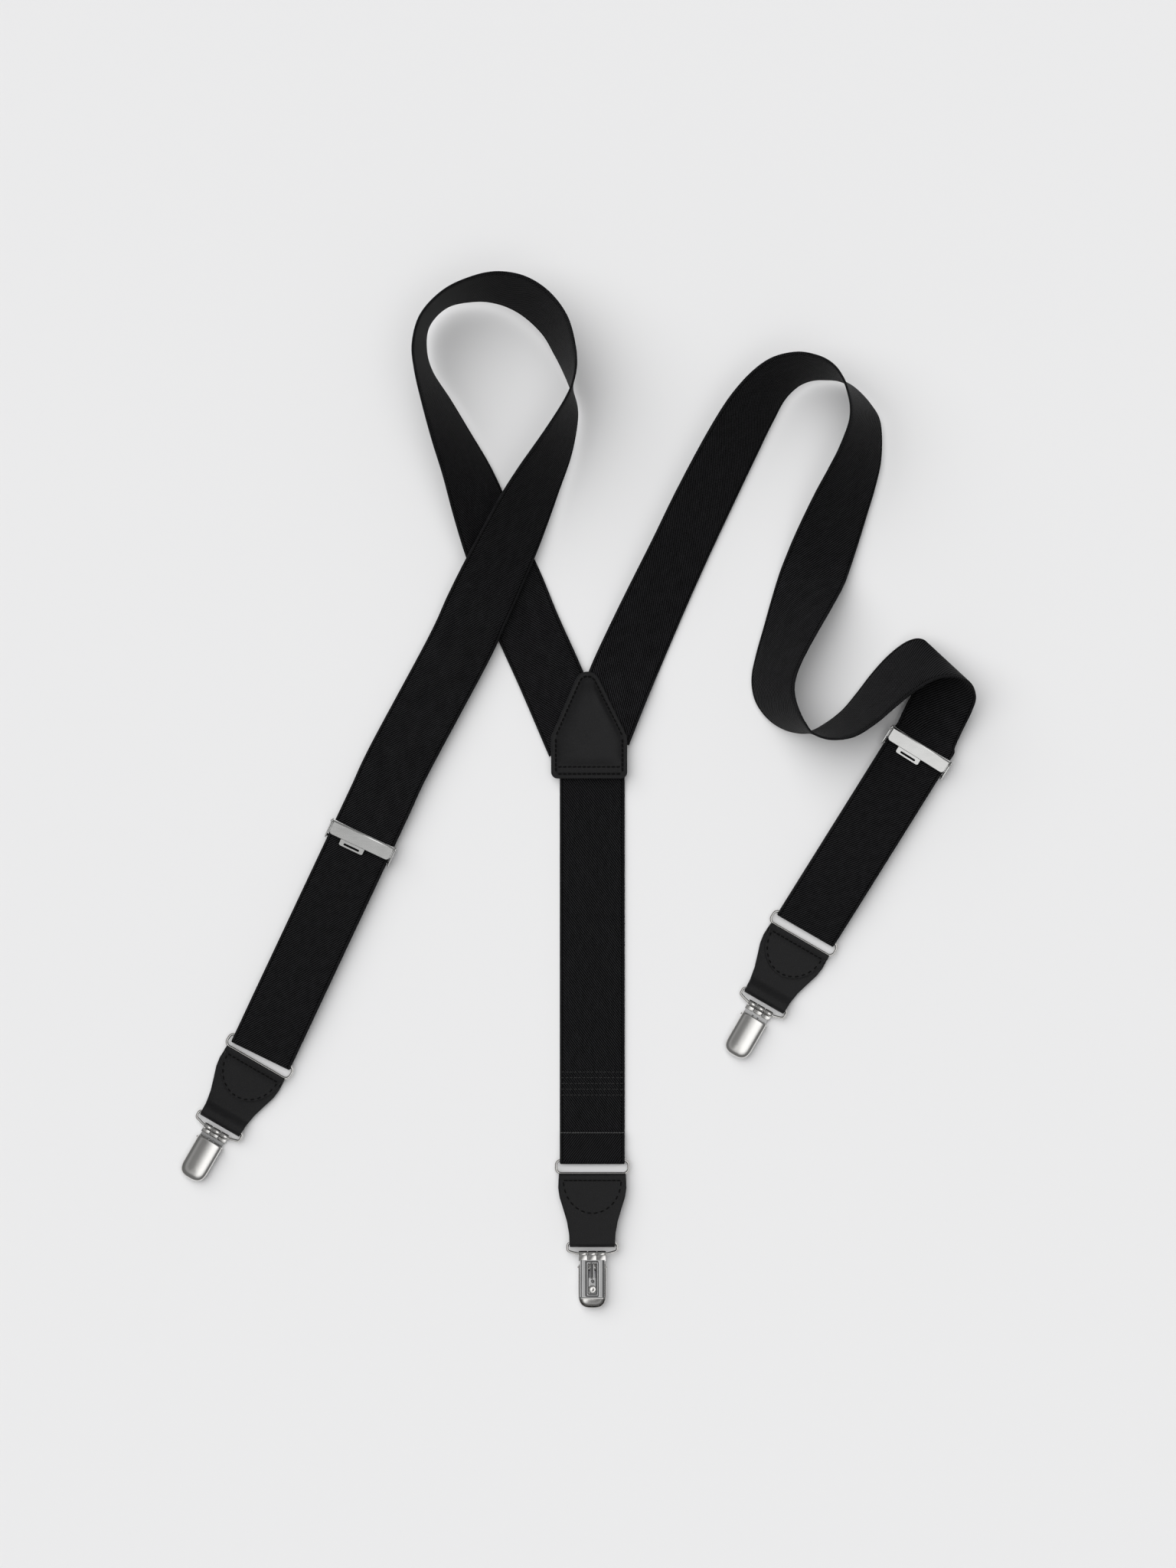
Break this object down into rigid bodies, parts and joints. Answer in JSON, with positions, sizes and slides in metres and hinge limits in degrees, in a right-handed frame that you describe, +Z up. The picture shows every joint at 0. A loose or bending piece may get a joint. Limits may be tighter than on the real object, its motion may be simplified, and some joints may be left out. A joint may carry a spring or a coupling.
{
  "type": "suspenders",
  "caption": "Y-back suspenders of black webbing with a leather back patch, lever adjusters and spring clips on leather tabs, lying loosely with looped front straps.",
  "frame": {"origin": "centre of the bounding box of the whole lay, on the surface it lies on", "axes": "+Y runs from the back clip towards the shoulder loops, +Z is up from the surface, +X is to the wearer-side right as seen from above"},
  "size_m": [0.4278, 0.5547, 0.0425],
  "materials": {
    "webbing": "matt black fine diagonal twill with thin selvedges",
    "black_leather": "smooth semi-matt black",
    "black_thread": "black twisted thread",
    "nickel": "polished nickel plate",
    "satin_nickel": "satin nickel plate",
    "spring_steel": "plain spring steel"
  },
  "bodies": {
    "straps_and_patch": {"patch_top": "black_leather", "patch_bottom": "black_leather", "patch_stitching": "black_thread", "back_strap": "webbing", "back_strap_stitching": "black_thread", "left_strap": "webbing", "right_strap": "webbing"},
    "left_loop_end": {"left_strap_loop": "webbing"},
    "left_adjuster": {"left_adjuster_frame": "satin_nickel", "left_adjuster_pin": "satin_nickel"},
    "left_lever": {"left_adjuster_lever": "satin_nickel"},
    "right_loop_end": {"right_strap_loop": "webbing"},
    "right_adjuster": {"right_adjuster_frame": "satin_nickel", "right_adjuster_pin": "satin_nickel"},
    "right_lever": {"right_adjuster_lever": "satin_nickel"},
    "back_ring": {"back_ring": "nickel"},
    "back_tab": {"back_tab": "black_leather", "back_tab_stitching": "black_thread"},
    "back_clip_wire": {"back_clip_wire": "nickel"},
    "back_clip": {"back_clip_body": "nickel", "back_clip_pin": "nickel", "back_clip_spring": "spring_steel", "back_clip_rivet": "nickel"},
    "back_cover": {"back_clip_cover": "nickel"},
    "left_ring": {"left_ring": "nickel"},
    "left_tab": {"left_tab": "black_leather", "left_tab_stitching": "black_thread"},
    "left_clip_wire": {"left_clip_wire": "nickel"},
    "left_clip": {"left_clip_body": "nickel", "left_clip_pin": "nickel", "left_clip_spring": "spring_steel", "left_clip_rivet": "nickel"},
    "left_cover": {"left_clip_cover": "nickel"},
    "right_ring": {"right_ring": "nickel"},
    "right_tab": {"right_tab": "black_leather", "right_tab_stitching": "black_thread"},
    "right_clip_wire": {"right_clip_wire": "nickel"},
    "right_clip": {"right_clip_body": "nickel", "right_clip_pin": "nickel", "right_clip_spring": "spring_steel", "right_clip_rivet": "nickel"},
    "right_cover": {"right_clip_cover": "nickel"}
  },
  "joints": [
    {"name": "left_strap_slide", "type": "slide", "parent": "straps_and_patch", "child": "left_loop_end", "axis": [0.4258, 0.9048, 0], "range_m": [-0.07, 0.022], "deforming": ["left_strap_loop"]},
    {"name": "left_adjuster_slide", "type": "slide", "parent": "left_loop_end", "child": "left_adjuster", "axis": [0.4258, 0.9048, 0], "range_m": [-0.07, 0.022], "deforming": ["left_strap_loop"]},
    {"name": "left_lever_hinge", "type": "hinge", "parent": "left_adjuster", "child": "left_lever", "pos_m": [-0.11545, -0.02269, 0.0076], "axis": [-0.9048, 0.4258, 0], "range_deg": [0, 100]},
    {"name": "right_strap_slide", "type": "slide", "parent": "straps_and_patch", "child": "right_loop_end", "axis": [0.5299, 0.848, 0], "range_m": [-0.06, 0], "deforming": ["right_strap_loop"]},
    {"name": "right_adjuster_slide", "type": "slide", "parent": "right_loop_end", "child": "right_adjuster", "axis": [0.5299, 0.848, 0], "range_m": [-0.06, 0], "deforming": ["right_strap_loop"]},
    {"name": "right_lever_hinge", "type": "hinge", "parent": "right_adjuster", "child": "right_lever", "pos_m": [0.18447, 0.02558, 0.0076], "axis": [-0.848, 0.5299, 0], "range_deg": [0, 100]},
    {"name": "back_ring_swing", "type": "hinge", "parent": "straps_and_patch", "child": "back_ring", "pos_m": [0.0075, -0.1977, 0.00235], "axis": [1, 0, 0], "range_deg": [-60, 60]},
    {"name": "back_tab_swing", "type": "hinge", "parent": "back_ring", "child": "back_tab", "pos_m": [0.0075, -0.205, 0.00235], "axis": [1, 0, 0], "range_deg": [-60, 60]},
    {"name": "back_wire_swing", "type": "hinge", "parent": "back_tab", "child": "back_clip_wire", "pos_m": [0.0075, -0.24228, 0.00344], "axis": [1, 0, 0], "range_deg": [-30, 30]},
    {"name": "back_clip_swing", "type": "hinge", "parent": "back_clip_wire", "child": "back_clip", "pos_m": [0.0075, -0.24818, 0.00344], "axis": [1, 0, 0], "range_deg": [-30, 30]},
    {"name": "back_cover_hinge", "type": "hinge", "parent": "back_clip", "child": "back_cover", "pos_m": [0.0075, -0.25538, 0.00324], "axis": [1, 0, 0], "range_deg": [0, 70], "stiffness_Nm_per_rad": 0.02, "springref_deg": -28.65},
    {"name": "left_ring_swing", "type": "hinge", "parent": "left_loop_end", "child": "left_ring", "pos_m": [-0.17, -0.1386, 0.00235], "axis": [0.866, -0.5, 0], "range_deg": [-60, 60]},
    {"name": "left_tab_swing", "type": "hinge", "parent": "left_ring", "child": "left_tab", "pos_m": [-0.17365, -0.14492, 0.00235], "axis": [0.866, -0.5, 0], "range_deg": [-60, 60]},
    {"name": "left_wire_swing", "type": "hinge", "parent": "left_tab", "child": "left_clip_wire", "pos_m": [-0.1923, -0.17722, 0.00235], "axis": [0.866, -0.5, 0], "range_deg": [-30, 30]},
    {"name": "left_clip_swing", "type": "hinge", "parent": "left_clip_wire", "child": "left_clip", "pos_m": [-0.19525, -0.18233, 0.00235], "axis": [0.866, -0.5, 0], "range_deg": [-30, 30]},
    {"name": "left_cover_hinge", "type": "hinge", "parent": "left_clip", "child": "left_cover", "pos_m": [-0.19885, -0.18857, 0.00255], "axis": [-0.866, 0.5, 0], "range_deg": [0, 70], "stiffness_Nm_per_rad": 0.02, "springref_deg": -28.65},
    {"name": "right_ring_swing", "type": "hinge", "parent": "right_loop_end", "child": "right_ring", "pos_m": [0.12327, -0.07237, 0.00235], "axis": [0.866, -0.5, 0], "range_deg": [-60, 60]},
    {"name": "right_tab_swing", "type": "hinge", "parent": "right_ring", "child": "right_tab", "pos_m": [0.11962, -0.0787, 0.00235], "axis": [0.866, -0.5, 0], "range_deg": [-60, 60]},
    {"name": "right_wire_swing", "type": "hinge", "parent": "right_tab", "child": "right_clip_wire", "pos_m": [0.10097, -0.111, 0.00235], "axis": [0.866, -0.5, 0], "range_deg": [-30, 30]},
    {"name": "right_clip_swing", "type": "hinge", "parent": "right_clip_wire", "child": "right_clip", "pos_m": [0.09802, -0.11611, 0.00235], "axis": [0.866, -0.5, 0], "range_deg": [-30, 30]},
    {"name": "right_cover_hinge", "type": "hinge", "parent": "right_clip", "child": "right_cover", "pos_m": [0.09442, -0.12234, 0.00255], "axis": [-0.866, 0.5, 0], "range_deg": [0, 70], "stiffness_Nm_per_rad": 0.02, "springref_deg": -28.65}
  ],
  "couplings": [
    {"joint": "left_adjuster_slide", "follows": "left_strap_slide", "ratio": 1},
    {"joint": "right_adjuster_slide", "follows": "right_strap_slide", "ratio": 1}
  ]
}
